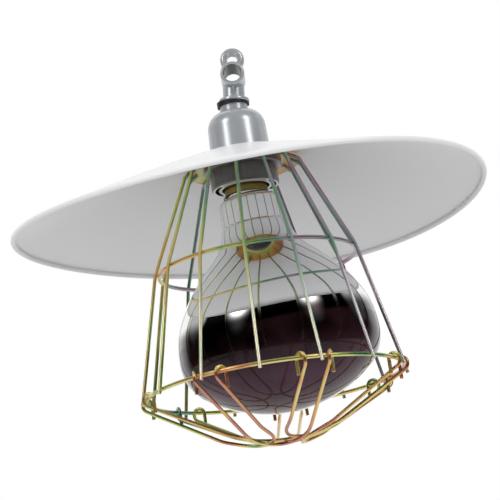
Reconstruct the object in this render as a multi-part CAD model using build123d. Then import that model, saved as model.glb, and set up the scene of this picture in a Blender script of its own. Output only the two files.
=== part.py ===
from build123d import *
import math
import os

# Heat lamp for young animals: a wide shade, a reflector bulb in a wire guard and a hanging eye.
# It is drawn about the centre of the shade's rim, +Z up the lamp's axis, +X to the right seen from
# the front (-Y). At the end everything is shifted so that the centre of the hanging eye is the origin.
# Lengths are millimetres and angles are degrees. Names in _R are radii, in _H heights, in _T thicknesses
# and in _Z heights above the rim.

# Shade: thin sheet, a flat crown, a straight cone and a rolled edge
RIM_R = 150.0
CROWN_R = 30.0
CROWN_Z = 41.0
SHADE_T = 1.0
BEAD_R = 1.7
CROWN_BEND_R = 14.0

# Lampholder cap: a moulded dome that stands on the crown
CAP_WALL = 2.9
CAP_SIDE_H = 18.0
CAP_TAPER = 0.7
CAP_H = 33.0
NECK_R = 8.8
NECK_H = 4.0
NECK_FOOT = 0.8
NECK_BORE_R = 6.3
NECK_WALL = 6.5
CEILING_LAND = 3.9

# Lampholder skirt: screws up into the cap and clamps the guard plate and the shade
THREAD_CLEAR = 0.1
HOLE_CLEAR = 0.4
SPIGOT_H = 13.2
SPIGOT_WALL = 1.7
SHELL_ROOM = 0.45
SKIRT_FLANGE_W = 3.4
SKIRT_FLANGE_H = 7.3
SKIRT_H = 11.5
MOUTH_CLEAR = 1.2
MOUTH_FACE_W = 6.4
MOUTH_H = 5.0
SKIRT_EDGE = 0.8
SLOT_W = 2.4
SLOT_DEPTH = 3.0
SLOT_ARC = 70.0

# Lampholder insert and its brass work
INSERT_H = 5.0
INSERT_RIM_H = 2.5
INSERT_RIM_CLEAR = 0.4
REGISTER_H = 2.0
FIT_CLEAR = 0.2
BASE_CLEAR = 0.35
SHELL_T = 0.4
SHELL_LENGTH = 26.0
SHELL_EYE_R = 8.0
CONTACT_DROP = 0.5
PLUNGER_HEAD_R = 4.0
PLUNGER_HEAD_H = 1.2
PLUNGER_R = 2.0
PLUNGER_TRAVEL = 1.5
COLLAR_R = 3.4
COLLAR_H = 0.8
SPRING_CUP_R = 4.6
SPRING_CUP_H = 4.5
SPRING_R = 3.2
SPRING_WIRE_R = 0.3
SPRING_TURNS = 2.5
TERMINAL_X = 11.0
TERMINAL_W = 4.0
TERMINAL_L = 7.0
TERMINAL_H = 5.0
TERMINAL_HOLE_R = 1.3
SCREW_R = 1.2
SCREW_HEAD_R = 1.7
SCREW_HEAD_H = 1.0

# Bulb: a reflector lamp with a screw base; the glass stands a little askew in the base
BASE_R = 13.1
BASE_WALL = 0.4
BASE_LENGTH = 20.5
BASE_SKIRT_H = 8.1
BASE_FLARE = 0.7
BASE_SHOULDER_R = 9.0
BASE_SHOULDER_H = 3.0
INSULATOR_H = 1.6
CONTACT_R = 4.6
CONTACT_H = 0.9
BULB_R = 63.0
BULB_LENGTH = 147.5
BULB_FACE_H = 40.0
BULB_EDGE_R = 27.0
BULB_COLLAR_DROP = 9.0
BULB_COLLAR_BEND = 1.2
BULB_NECK_R = 18.8
BULB_NECK_DROP = 11.5
BULB_WAIST_R = 20.9
BULB_WAIST_DROP = 29.0
BULB_CREASE = 12.0
BULB_THROAT_R = 24.6
BULB_THROAT_DROP = 38.5
# Shares of the way out and down from the throat to the belly
BULB_FLANK = ((0.44, 0.33), (0.925, 0.729))
FLANK_STEPS = 8
BULB_NECK_BEND = 5.0
BULB_LEAN = 3.3
GLASS_T = 1.2
CEMENT_GAP = 0.1
STEM_R = 4.0
STEM_LENGTH = 50.0
STEM_FLARE_H = 8.0
FILAMENT_R = 16.0
FILAMENT_WIRE_R = 1.0
FILAMENT_DEPTH = 88.0
FILAMENT_GAP = 60.0
LEAD_R = 0.5
LEAD_INSET = 2.0
SUPPORTS = 3

# Guard: bent wires welded to a dished plate and to two rings
PLATE_R = 36.0
PLATE_FLAT_R = 26.5
PLATE_T = 1.2
PLATE_DISH = 5.8
GUARD_WIRE_R = 1.1
RING_WIRE_R = 1.25
WELD_SINK = 0.2
LOWER_RING_GAP = 16.9
LOWER_RING_RISE = 17.6
MID_RING_STEP = 18.0
RING_SPACING = 76.65
FIRST_WIRE = -5.3
TOP_RUN = 8.0
TOP_BEND_R = 4.0
KINK_BEND_R = 12.0
WIRE_OVERSHOOT = 3.0

# Grille under the bulb: bent wires that hook over the lower ring and are welded where they cross.
# For each wire from the front towards the right: its place in the stack at the centre, 0 being the lowest,
# and how far past the nearest guard wires its hooks are.
GRILLE_STACK = (0, 2, 1, 2, 3, 2, 1)
HOOK_SPREAD = (4.5, 10.0, 7.0, 7.0, 7.0, 7.0, 10.0)
GRILLE_WIRE_R = 1.1
GRILLE_DROP = 21.0
HOOK_CLEAR = 0.35
HOOK_SKEW = 4.0
HOOK_TAIL = 9.0
LEG_DROP = 3.2
LEG_BEND_R = 4.0
KNEE_SHARE = 0.5
KNEE_RISE = 6.5
KNEE_BEND_R = 25.0
PETAL_TIP_R = 10.5
PETAL_BEND_R = 20.0

# Hanger: one moulding with flange, post, cable barrel and eye, leaning in the cap's neck
HANGER_LEAN = 5.5
GASKET_R = 10.2
GASKET_T = 2.0
FLANGE_R = 9.7
FLANGE_H = 2.6
FLANGE_EDGE = 1.0
POST_R = 6.9
BARREL_RISE = 13.4
BARREL_R = 7.6
BARREL_BORE_R = 5.5
BARREL_FRONT = 14.0
BARREL_BACK = 7.4
BARREL_MOUTH = 0.9
BARREL_LEAD = 0.4
RIB_W = 2.0
RIB_DROP = 4.0
RIB_SETBACK = 1.8
RIB_LIP = 0.5
EYE_RISE = 12.4
EYE_R = 7.6
EYE_BORE_R = 3.4
EYE_W = 8.0
EYE_EDGE = 2.4
STEM_THREAD_R = 5.0
STEM_BORE_R = 3.0
STEM_END = 1.0
WASHER_R = 9.0
WASHER_T = 1.2
WASHER_CLEAR = 0.35
NUT_FLATS = 14.0
NUT_H = 3.4

# Radii of the lampholder, from the bulb's base outwards
SHELL_BORE_R = BASE_R + BASE_CLEAR
SHELL_R = SHELL_BORE_R + SHELL_T
SPIGOT_BORE_R = SHELL_R + SHELL_ROOM
SPIGOT_R = SPIGOT_BORE_R + SPIGOT_WALL
CLAMP_HOLE_R = SPIGOT_R + HOLE_CLEAR
CAP_BORE_R = SPIGOT_R + THREAD_CLEAR
CAP_R = CAP_BORE_R + CAP_WALL
MOUTH_R = BASE_R + BASE_FLARE + MOUTH_CLEAR
SKIRT_R = MOUTH_R + MOUTH_FACE_W
SKIRT_FLANGE_R = SKIRT_R + SKIRT_FLANGE_W

# Heights above the rim that several pieces share
WIRES = 2 * len(GRILLE_STACK)
WIRE_STEP = 360.0 / WIRES
PETAL_STEP = 360.0 / len(GRILLE_STACK)
PLATE_TOP = CROWN_Z - SHADE_T
FLANGE_TOP = PLATE_TOP - PLATE_T
SKIRT_STEP_Z = FLANGE_TOP - SKIRT_FLANGE_H
SKIRT_BOTTOM = SKIRT_STEP_Z - SKIRT_H
SPIGOT_TOP = FLANGE_TOP + SPIGOT_H
INSERT_TOP = SPIGOT_TOP + INSERT_H
INSERT_BOTTOM = SPIGOT_TOP - REGISTER_H
CONTACT_TOP = INSERT_BOTTOM - CONTACT_DROP
BASE_TOP = CONTACT_TOP - CONTACT_H - INSULATOR_H - BASE_SHOULDER_H
BASE_RIM = BASE_TOP - BASE_LENGTH
FACE_Z = BASE_RIM - BULB_LENGTH
NECK_TOP = CROWN_Z + CAP_H
CEILING_Z = NECK_TOP - NECK_WALL
FLANGE_SEAT = NECK_TOP + GASKET_T
LOWER_RING_R = BULB_R + LOWER_RING_GAP
LOWER_RING_Z = FACE_Z + LOWER_RING_RISE
MID_RING_R = LOWER_RING_R - MID_RING_STEP
MID_RING_Z = LOWER_RING_Z + RING_SPACING
GRILLE_Z = FACE_Z - GRILLE_DROP

# The hanger's axis crosses the lamp's axis in the ceiling of the cap's neck
PIVOT_Z = CEILING_Z
HANGER = Location((0, 0, PIVOT_Z), (0, HANGER_LEAN, 0))
SEAT_RISE = FLANGE_SEAT - PIVOT_Z
BARREL_Z = SEAT_RISE + FLANGE_H + BARREL_RISE
EYE_Z = BARREL_Z + EYE_RISE
EYE_CENTRE = (HANGER * Location((0, 0, EYE_Z))).position

# Under the ceiling, along the hanger's axis: the washer's raised edge stays clear as the lamp turns
WASHER_TOP = -WASHER_R * math.tan(math.radians(HANGER_LEAN)) - WASHER_CLEAR
WASHER_LOW = WASHER_TOP - WASHER_T
NUT_LOW = WASHER_LOW - NUT_H
STEM_LOW = NUT_LOW - STEM_END

# The glass leans about the middle of the base's rim
BULB = Location((0, 0, BASE_RIM), (0, -BULB_LEAN, 0))


def place(radius, angle, height):
    """Point on the lamp, its angle counted from the front towards the right."""
    turn = math.radians(angle)
    return Vector(radius * math.sin(turn), -radius * math.cos(turn), height)


def turned(*edges):
    """Solid of revolution about Z from a closed outline of (radius, height) edges."""
    return revolve(Plane.XZ * make_face(Wire(list(edges))), Axis.Z)


def lathe(*points):
    """Solid of revolution about Z from a closed outline of (radius, height) corners."""
    return revolve(Plane.XZ * make_face(Polyline(*points, close=True)), Axis.Z)


def tube(outer, inner, low, high):
    """Upright round tube between two heights."""
    return lathe((inner, low), (outer, low), (outer, high), (inner, high))


def rod(radius, low, high):
    """Upright round rod between two heights."""
    return Pos(0, 0, low) * Cylinder(radius, high - low, align=(Align.CENTER, Align.CENTER, Align.MIN))


def wire_along(path, radius):
    """Round wire that follows a path."""
    start = Plane(origin=path @ 0, z_dir=path % 0)
    return sweep(start * Circle(radius), path)


def straight_wire(start, end, radius):
    """Straight round wire between two points."""
    return wire_along(Line(start, end), radius)


def ring(radius, height, wire_radius):
    """Wire ring about the lamp's axis."""
    return Pos(0, 0, height) * Torus(radius, wire_radius)


def shade():
    """Thin sheet shade: a flat crown, a cone and an edge rolled into a bead."""
    edge_r = RIM_R - BEAD_R
    slope = math.atan2(CROWN_Z - 2 * BEAD_R, edge_r - CROWN_R)
    drop = SHADE_T / math.cos(slope)
    top = FilletPolyline((CLAMP_HOLE_R, CROWN_Z), (CROWN_R, CROWN_Z), (edge_r, 2 * BEAD_R),
                         radius=CROWN_BEND_R)
    inset = SHADE_T * math.tan(slope / 2)
    under = FilletPolyline((CLAMP_HOLE_R, CROWN_Z - SHADE_T), (CROWN_R - inset, CROWN_Z - SHADE_T),
                           (edge_r, 2 * BEAD_R - drop), radius=CROWN_BEND_R - SHADE_T)
    ends = [Line(top @ 1, under @ 1), Line(under @ 0, top @ 0)]
    sheet = make_face(Wire([*top.edges(), *under.edges(), *ends]))
    section = sheet + Pos(edge_r, BEAD_R) * Circle(BEAD_R)
    return revolve(Plane.XZ * section, Axis.Z)


def cap():
    """Moulded dome: tapered side, rounded shoulder and a bored neck with a thick end."""
    shoulder = Vector(CAP_R - CAP_TAPER, CROWN_Z + CAP_SIDE_H)
    neck_low = NECK_TOP - NECK_H
    dome_end = Vector(NECK_R + NECK_FOOT, neck_low)
    outside = turned(Line((0, CROWN_Z), (CAP_R, CROWN_Z)), Line((CAP_R, CROWN_Z), shoulder),
                     TangentArc(shoulder, dome_end, tangent=(0, 1)), Line(dome_end, (NECK_R, neck_low)),
                     Line((NECK_R, neck_low), (NECK_R, NECK_TOP)), Line((NECK_R, NECK_TOP), (0, NECK_TOP)),
                     Line((0, NECK_TOP), (0, CROWN_Z)))
    bore_top = Vector(CAP_BORE_R, shoulder.Y)
    ceiling = Vector(NECK_BORE_R + CEILING_LAND, CEILING_Z)
    hollow = turned(Line((0, CROWN_Z), (CAP_BORE_R, CROWN_Z)), Line((CAP_BORE_R, CROWN_Z), bore_top),
                    TangentArc(bore_top, ceiling, tangent=(0, 1)), Line(ceiling, (0, CEILING_Z)),
                    Line((0, CEILING_Z), (0, CROWN_Z)))
    return outside - hollow - rod(NECK_BORE_R, CEILING_Z, NECK_TOP)


def lampholder_skirt():
    """Threaded spigot, clamping flange and a plain body whose bottom face has two curved slots."""
    body = lathe((SPIGOT_BORE_R, SKIRT_BOTTOM + MOUTH_H), (MOUTH_R, SKIRT_BOTTOM + MOUTH_H),
                 (MOUTH_R, SKIRT_BOTTOM), (SKIRT_R - SKIRT_EDGE, SKIRT_BOTTOM),
                 (SKIRT_R, SKIRT_BOTTOM + SKIRT_EDGE), (SKIRT_R, SKIRT_STEP_Z),
                 (SKIRT_FLANGE_R - SKIRT_EDGE, SKIRT_STEP_Z), (SKIRT_FLANGE_R, SKIRT_STEP_Z + SKIRT_EDGE),
                 (SKIRT_FLANGE_R, FLANGE_TOP), (SPIGOT_R, FLANGE_TOP), (SPIGOT_R, SPIGOT_TOP),
                 (SPIGOT_BORE_R, SPIGOT_TOP))
    slot_r = (MOUTH_R + SKIRT_R) / 2
    slot = Plane.XZ * (Pos(slot_r, SKIRT_BOTTOM) * Rectangle(SLOT_W, 2 * SLOT_DEPTH))
    for middle in (0, 180):
        body -= Rot(0, 0, middle - SLOT_ARC / 2) * revolve(slot, Axis.Z, SLOT_ARC)
    return body


def lampholder_insert():
    """Ceramic disc on the spigot's end, bored for the centre contact."""
    rim_r = SPIGOT_R - INSERT_RIM_CLEAR
    waist_r = SPIGOT_BORE_R - FIT_CLEAR
    disc = lathe((0, INSERT_BOTTOM), (waist_r, INSERT_BOTTOM), (waist_r, SPIGOT_TOP), (rim_r, SPIGOT_TOP),
                 (rim_r, SPIGOT_TOP + INSERT_RIM_H), (waist_r, INSERT_TOP), (0, INSERT_TOP))
    return disc - rod(SPRING_CUP_R, INSERT_BOTTOM, INSERT_BOTTOM + SPRING_CUP_H) \
        - rod(PLUNGER_R + FIT_CLEAR, INSERT_BOTTOM, INSERT_TOP)


def screw_shell():
    """Brass shell that the bulb screws into, with a flange against the insert."""
    top = INSERT_BOTTOM
    return lathe((SHELL_BORE_R, top - SHELL_LENGTH), (SHELL_R, top - SHELL_LENGTH), (SHELL_R, top),
                 (SHELL_EYE_R, top), (SHELL_EYE_R, top - SHELL_T), (SHELL_BORE_R, top - SHELL_T))


def centre_contact():
    """Sprung brass plunger: head on the bulb's contact, stem through the insert and a stop collar."""
    collar_low = INSERT_TOP + PLUNGER_TRAVEL + FIT_CLEAR
    return rod(PLUNGER_HEAD_R, CONTACT_TOP, CONTACT_TOP + PLUNGER_HEAD_H) \
        + rod(PLUNGER_R, CONTACT_TOP, collar_low) + rod(COLLAR_R, collar_low, collar_low + COLLAR_H)


def contact_spring():
    """Coil spring between the plunger's head and the bottom of its cup."""
    low = CONTACT_TOP + PLUNGER_HEAD_H + SPRING_WIRE_R
    height = INSERT_BOTTOM + SPRING_CUP_H - SPRING_WIRE_R - low
    coil = Pos(0, 0, low) * Helix(height / SPRING_TURNS, height, SPRING_R)
    print("contact spring: least gap between turns", round(height / SPRING_TURNS - 2 * SPRING_WIRE_R, 3))
    return wire_along(coil, SPRING_WIRE_R)


def terminal_blocks():
    """Two brass blocks on the insert, each with a wire hole and a screw hole."""
    block = Box(TERMINAL_W, TERMINAL_L, TERMINAL_H, align=(Align.CENTER, Align.CENTER, Align.MIN))
    block -= Pos(0, 0, TERMINAL_H / 2) * Rot(90, 0, 0) * Cylinder(TERMINAL_HOLE_R, TERMINAL_L)
    block -= rod(SCREW_R, TERMINAL_H / 2, TERMINAL_H)
    return [Pos(side * TERMINAL_X, 0, INSERT_TOP) * block for side in (-1, 1)]


def terminal_screws():
    """Clamping screws in the terminal blocks, their ends in the wire holes."""
    screw = rod(SCREW_R, TERMINAL_H / 2, TERMINAL_H)
    screw += rod(SCREW_HEAD_R, TERMINAL_H, TERMINAL_H + SCREW_HEAD_H)
    return [Pos(side * TERMINAL_X, 0, INSERT_TOP) * screw for side in (-1, 1)]


def base_shell():
    """Screw base of the bulb: a thin shell with a drawn-in shoulder and a flared skirt round the glass."""
    shoulder_z = BASE_TOP + BASE_SHOULDER_H
    skirt_z = BASE_RIM - BASE_SKIRT_H
    return lathe((BASE_R - BASE_WALL, BASE_RIM), (BASE_R + BASE_FLARE - BASE_WALL, skirt_z),
                 (BASE_R + BASE_FLARE, skirt_z), (BASE_R, BASE_RIM), (BASE_R, BASE_TOP),
                 (BASE_SHOULDER_R, shoulder_z), (BASE_SHOULDER_R - BASE_WALL, shoulder_z),
                 (BASE_R - BASE_WALL, BASE_TOP))


def base_insulator():
    """Glass-like insulator that closes the end of the base."""
    low = BASE_TOP + BASE_SHOULDER_H
    return lathe((0, low), (BASE_SHOULDER_R, low), (CONTACT_R, low + INSULATOR_H), (0, low + INSULATOR_H))


def base_contact():
    """Centre contact of the bulb."""
    return rod(CONTACT_R - BASE_WALL, CONTACT_TOP - CONTACT_H, CONTACT_TOP)


def bulb_outline(inset=0.0):
    """Edges of the bulb's half outline, or of a line inside it, from the base's rim to the middle of the face."""
    belly_z = BULB_FACE_H - BULB_LENGTH
    collar = Vector(BASE_R - BASE_WALL - CEMENT_GAP, 0)
    corner = Vector(BULB_NECK_R, -BULB_NECK_DROP)
    waist = Vector(BULB_WAIST_R, -BULB_WAIST_DROP)
    throat = Vector(BULB_THROAT_R, -BULB_THROAT_DROP)
    belly = Vector(BULB_R, belly_z)
    neck = FilletPolyline(collar, collar + Vector(CEMENT_GAP, -BULB_COLLAR_DROP), corner, waist,
                          radius=[BULB_COLLAR_BEND, BULB_NECK_BEND])
    span = belly - throat
    between = [throat + Vector(out * span.X, down * span.Y) for out, down in BULB_FLANK]
    # The neck meets the flare in a faint crease
    away = (waist - corner).rotate(Axis.Z, BULB_CREASE)
    flank = Spline(waist, throat, *between, belly, tangents=(away, (0, -1)), tangent_scalars=(1, 1))
    crease = []
    if inset:
        neck = neck.offset_2d(inset, side=Side.RIGHT, closed=False)
        inner = []
        for step in range(FLANK_STEPS + 1):
            along = flank % (step / FLANK_STEPS)
            inner.append(flank @ (step / FLANK_STEPS) + Vector(along.Y, -along.X) * inset)
        flank = Spline(*inner, tangents=(flank % 0, flank % 1), tangent_scalars=(1, 1))
        crease = Line(neck @ 1, flank @ 0).edges()
    # The face is one shallow arc that runs smoothly into a small one at the belly
    across = BULB_R - BULB_EDGE_R
    face_r = (across ** 2 + BULB_FACE_H ** 2 - BULB_EDGE_R ** 2) / (2 * (BULB_FACE_H - BULB_EDGE_R))
    turn = math.degrees(math.atan2(face_r - BULB_FACE_H, across))
    edge = CenterArc((across, belly_z), BULB_EDGE_R - inset, -turn, turn)
    face = CenterArc((0, face_r - BULB_LENGTH), face_r - inset, -90, 90 - turn)
    return [*neck.edges(), *crease, *flank.edges(), *edge.edges(), *face.edges()]


def bulb_glass():
    """Blown bulb: a neck, a flare, a wide belly and a domed face, hollow and open at the base."""
    outside = Wire(bulb_outline())
    inside = Wire(bulb_outline(GLASS_T))
    rims = [Line(outside @ end, inside @ end).edge() for end in (0, 1)]
    wall = make_face(Wire([*outside.edges(), *inside.edges(), *rims]))
    return BULB * revolve(Plane.XZ * wall, Axis.Z)


def stem_mount():
    """Glass stem that carries the filament, flared where it is fused into the neck."""
    flare_r = BASE_R - BASE_WALL - CEMENT_GAP - GLASS_T
    return BULB * lathe((0, 0), (flare_r, 0), (flare_r, -GLASS_T), (STEM_R, -STEM_FLARE_H),
                        (STEM_R, -STEM_LENGTH), (0, -STEM_LENGTH))


def filament():
    """Open ring of coiled filament across the bulb's axis."""
    arc = CenterArc((0, 0), FILAMENT_R, FILAMENT_GAP / 2, 360 - FILAMENT_GAP)
    return BULB * Pos(0, 0, -FILAMENT_DEPTH) * wire_along(Wire(arc.edges()), FILAMENT_WIRE_R)


def spokes(angles, radius):
    """Straight wires from the end of the stem down to the filament's ring."""
    top = STEM_R - 2 * radius
    reach = FILAMENT_R - FILAMENT_WIRE_R - radius
    made = []
    for angle in angles:
        start = place(top, angle, -STEM_LENGTH - radius)
        made.append(BULB * straight_wire(start, place(reach, angle, -FILAMENT_DEPTH), radius))
    return made


def lead_wires():
    """The two leads, one at each end of the filament."""
    end = FILAMENT_GAP / 2 + math.degrees(LEAD_INSET / FILAMENT_R)
    return spokes((90 - end, 90 + end), LEAD_R)


def filament_supports():
    """Thin wires that hold the filament between its leads."""
    span = (360 - FILAMENT_GAP) / (SUPPORTS + 1)
    return spokes([90 + FILAMENT_GAP / 2 + span * (i + 1) for i in range(SUPPORTS)], LEAD_R)


def guard_plate():
    """Dished plate clamped under the shade's crown."""
    edge_z = PLATE_TOP - PLATE_DISH
    return lathe((CLAMP_HOLE_R, PLATE_TOP), (PLATE_FLAT_R, PLATE_TOP), (PLATE_R, edge_z),
                 (PLATE_R, edge_z - PLATE_T), (PLATE_FLAT_R, FLANGE_TOP), (CLAMP_HOLE_R, FLANGE_TOP))


def guard_wire(*welded_to):
    """One upright of the guard: a run along the plate, a flare to the mid ring, then to the lower ring."""
    dish = math.atan2(PLATE_DISH, PLATE_R - PLATE_FLAT_R)
    under = (GUARD_WIRE_R - WELD_SINK) / math.cos(dish) + PLATE_T
    edge_r = PLATE_R + GUARD_WIRE_R
    edge_z = PLATE_TOP - under - (edge_r - PLATE_FLAT_R) * math.tan(dish)
    seat = RING_WIRE_R + GUARD_WIRE_R - WELD_SINK
    upper = math.atan2(MID_RING_R - edge_r, edge_z - MID_RING_Z)
    mid_r = MID_RING_R + seat / math.cos(upper)
    lower = math.atan2(MID_RING_STEP, RING_SPACING)
    low_r = LOWER_RING_R + seat / math.cos(lower)
    path = FilletPolyline(place(edge_r - TOP_RUN * math.cos(dish), 0, edge_z + TOP_RUN * math.sin(dish)),
                          place(edge_r, 0, edge_z), place(mid_r, 0, MID_RING_Z),
                          place(low_r + WIRE_OVERSHOOT * math.tan(lower), 0, LOWER_RING_Z - WIRE_OVERSHOOT),
                          radius=[TOP_BEND_R, KINK_BEND_R])
    wire = wire_along(path, GUARD_WIRE_R)
    for piece in welded_to:
        wire -= piece
    return wire


def grille_wire(level, spread):
    """One wire of the grille: hook, leg, knee, wide bend beside the centre, and back to a hook."""
    bend = RING_WIRE_R + HOOK_CLEAR + GRILLE_WIRE_R
    hook_r = math.hypot(bend, HOOK_SKEW / 2)
    hook_z = LOWER_RING_Z + bend - hook_r
    leg_r = LOWER_RING_R + bend
    hook_angle = PETAL_STEP / 2 + math.degrees(math.asin(spread / LOWER_RING_R))
    skew = math.degrees(HOOK_SKEW / LOWER_RING_R)
    stack_z = GRILLE_Z + level * (2 * GRILLE_WIRE_R - WELD_SINK)
    knee_z = stack_z + KNEE_RISE

    # Corner of the wide bend, where the straight legs would meet on the other side of the centre
    side = math.radians(hook_angle)
    reach = leg_r * math.cos(side)
    middle = PETAL_TIP_R + PETAL_BEND_R
    away = math.hypot(reach - middle, leg_r * math.sin(side))
    slope = math.atan2(leg_r * math.sin(side), reach - middle) - math.asin(PETAL_BEND_R / away)
    corner = middle - PETAL_BEND_R / math.sin(slope)

    # Height of that corner, so that the wire is at its place in the stack where it crosses its neighbours
    half_step = math.radians(PETAL_STEP / 2)
    off = middle * math.sin(half_step)
    cross = (middle * math.cos(half_step) - math.sqrt(PETAL_BEND_R ** 2 - off ** 2)) * math.cos(half_step)
    knee = reach + (corner - reach) * KNEE_SHARE
    share = (cross - corner) / (knee - corner)
    apex = place(corner, 0, (stack_z - share * knee_z) / (1 - share))

    def half(sign):
        turn = sign * hook_angle
        inner = turn + sign * skew
        low = place(leg_r, turn, hook_z - LEG_DROP)
        bent = low + (apex - low) * KNEE_SHARE
        tail = place(LOWER_RING_R - bend, inner, hook_z - HOOK_TAIL)
        hook = [place(LOWER_RING_R - bend, inner, hook_z),
                place(LOWER_RING_R, (turn + inner) / 2, hook_z + hook_r),
                place(leg_r, turn, hook_z)]
        return tail, hook, low, Vector(bent.X, bent.Y, knee_z)

    tail_1, hook_1, low_1, knee_1 = half(-1)
    tail_2, hook_2, low_2, knee_2 = half(1)
    petal = FilletPolyline(hook_1[2], low_1, knee_1, apex, knee_2, low_2, hook_2[2],
                           radius=[LEG_BEND_R, KNEE_BEND_R, PETAL_BEND_R, KNEE_BEND_R, LEG_BEND_R])
    path = Wire([Line(tail_1, hook_1[0]), ThreePointArc(*hook_1), *petal.edges(),
                 ThreePointArc(*reversed(hook_2)), Line(hook_2[0], tail_2)])
    return wire_along(path, GRILLE_WIRE_R)


def grille_wires():
    """All wires of the grille in place, the upper one of each crossing pair seated on the lower."""
    made = []
    for i, (level, spread) in enumerate(zip(GRILLE_STACK, HOOK_SPREAD)):
        made.append(Rot(0, 0, FIRST_WIRE + PETAL_STEP * i) * grille_wire(level, spread))
    count = len(made)
    seated = []
    for i, wire in enumerate(made):
        for beside in ((i - 1) % count, (i + 1) % count):
            if GRILLE_STACK[beside] < GRILLE_STACK[i]:
                wire = wire - made[beside]
        seated.append(wire)
    return seated


def hanger_gasket():
    """Rubber ring on the neck, squeezed to a wedge by the leaning flange."""
    ring_stock = tube(GASKET_R, NECK_BORE_R, NECK_TOP, NECK_TOP + 2 * GASKET_T)
    above = HANGER * Pos(0, 0, SEAT_RISE) * Box(4 * GASKET_R, 4 * GASKET_R, 4 * GASKET_T,
                                                align=(Align.CENTER, Align.CENTER, Align.MIN))
    return ring_stock - above


def hanger():
    """Moulded hanger: hollow stem, flange, post, cable barrel with a rib under it, and the eye."""
    flange = rod(FLANGE_R, SEAT_RISE, SEAT_RISE + FLANGE_H)
    flange = fillet(flange.edges().filter_by(GeomType.CIRCLE), FLANGE_EDGE)
    post = rod(POST_R, SEAT_RISE + FLANGE_H / 2, BARREL_Z)
    length = BARREL_FRONT + BARREL_BACK
    middle = (BARREL_BACK - BARREL_FRONT) / 2
    across = Location((0, middle, BARREL_Z), (90, 0, 0))
    barrel = across * fillet(Cylinder(BARREL_R, length).edges().filter_by(GeomType.CIRCLE), BARREL_MOUTH)
    eye_stock = Cylinder(EYE_R, EYE_W)
    eye_place = Location((0, 0, EYE_Z), (90, 0, 0))
    eye = eye_place * fillet(eye_stock.edges().filter_by(GeomType.CIRCLE), EYE_EDGE)
    rib_front = RIB_SETBACK - BARREL_FRONT
    rib_top = BARREL_Z - BARREL_R / 2
    rib_low = BARREL_Z - BARREL_R - RIB_DROP
    rib = Plane.YZ * make_face(Polyline((rib_front, BARREL_Z - BARREL_R - RIB_LIP), (rib_front, rib_top),
                                        (0, rib_top), (0, rib_low), (RIB_W - POST_R, rib_low), close=True))
    stem = rod(STEM_THREAD_R, STEM_LOW, SEAT_RISE + FLANGE_H)
    solid = flange + post + barrel + eye + extrude(rib, RIB_W / 2, both=True) + stem
    solid -= across * Cylinder(BARREL_BORE_R, length)
    wide = BARREL_BORE_R + 2 * BARREL_LEAD
    for side, ends in ((-1, (wide, BARREL_BORE_R)), (1, (BARREL_BORE_R, wide))):
        solid -= across * Pos(0, 0, side * length / 2) * Cone(*ends, 2 * BARREL_LEAD)
    eye_hole = Cylinder(EYE_BORE_R, EYE_W)
    wide = EYE_BORE_R + EYE_EDGE
    for side, ends in ((-1, (wide, EYE_BORE_R)), (1, (EYE_BORE_R, wide))):
        eye_hole += Pos(0, 0, side * EYE_W / 2) * Cone(*ends, EYE_EDGE)
    solid -= eye_place * eye_hole
    solid -= rod(STEM_BORE_R, STEM_LOW, BARREL_Z)
    return HANGER * solid


def hanger_washer():
    """Washer under the neck's ceiling."""
    return HANGER * tube(WASHER_R, STEM_THREAD_R + FIT_CLEAR, WASHER_LOW, WASHER_TOP)


def hanger_nut():
    """Thin six-sided nut on the stem."""
    sides = RegularPolygon(NUT_FLATS / 2, 6, major_radius=False) - Circle(STEM_THREAD_R)
    return HANGER * Pos(0, 0, NUT_LOW) * extrude(sides, NUT_H)


def save(name, pieces):
    """Shift a node's solids to the hanging eye and write them to one file."""
    solids = []
    for piece in pieces if isinstance(pieces, list) else [pieces]:
        solids += piece.solids()
    moved = [Location(-EYE_CENTRE) * solid for solid in solids]
    export_step(moved[0] if len(moved) == 1 else Compound(children=moved), f"parts/{name}.step")


def main():
    os.makedirs("parts", exist_ok=True)
    for piece in (hanger, hanger_washer, hanger_nut, hanger_gasket, cap, shade, lampholder_skirt,
                  lampholder_insert, screw_shell, centre_contact, contact_spring, terminal_blocks,
                  terminal_screws, base_shell, base_insulator, base_contact, bulb_glass, stem_mount,
                  filament, lead_wires, filament_supports):
        save(piece.__name__, piece())
    plate = guard_plate()
    mid_ring = ring(MID_RING_R, MID_RING_Z, RING_WIRE_R)
    lower_ring = ring(LOWER_RING_R, LOWER_RING_Z, RING_WIRE_R)
    save("guard_plate", plate)
    save("mid_ring", mid_ring)
    save("lower_ring", lower_ring)
    upright = guard_wire(plate, mid_ring, lower_ring)
    for i in range(WIRES):
        save(f"guard_wire_{i + 1:02d}", Rot(0, 0, FIRST_WIRE + WIRE_STEP * i) * upright)
    for i, wire in enumerate(grille_wires()):
        save(f"grille_wire_{i + 1}", wire)


main()
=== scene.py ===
import math

import bmesh
import bpy
from bpy.props import FloatProperty, FloatVectorProperty, PointerProperty
from mathutils import Matrix, Vector


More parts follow.
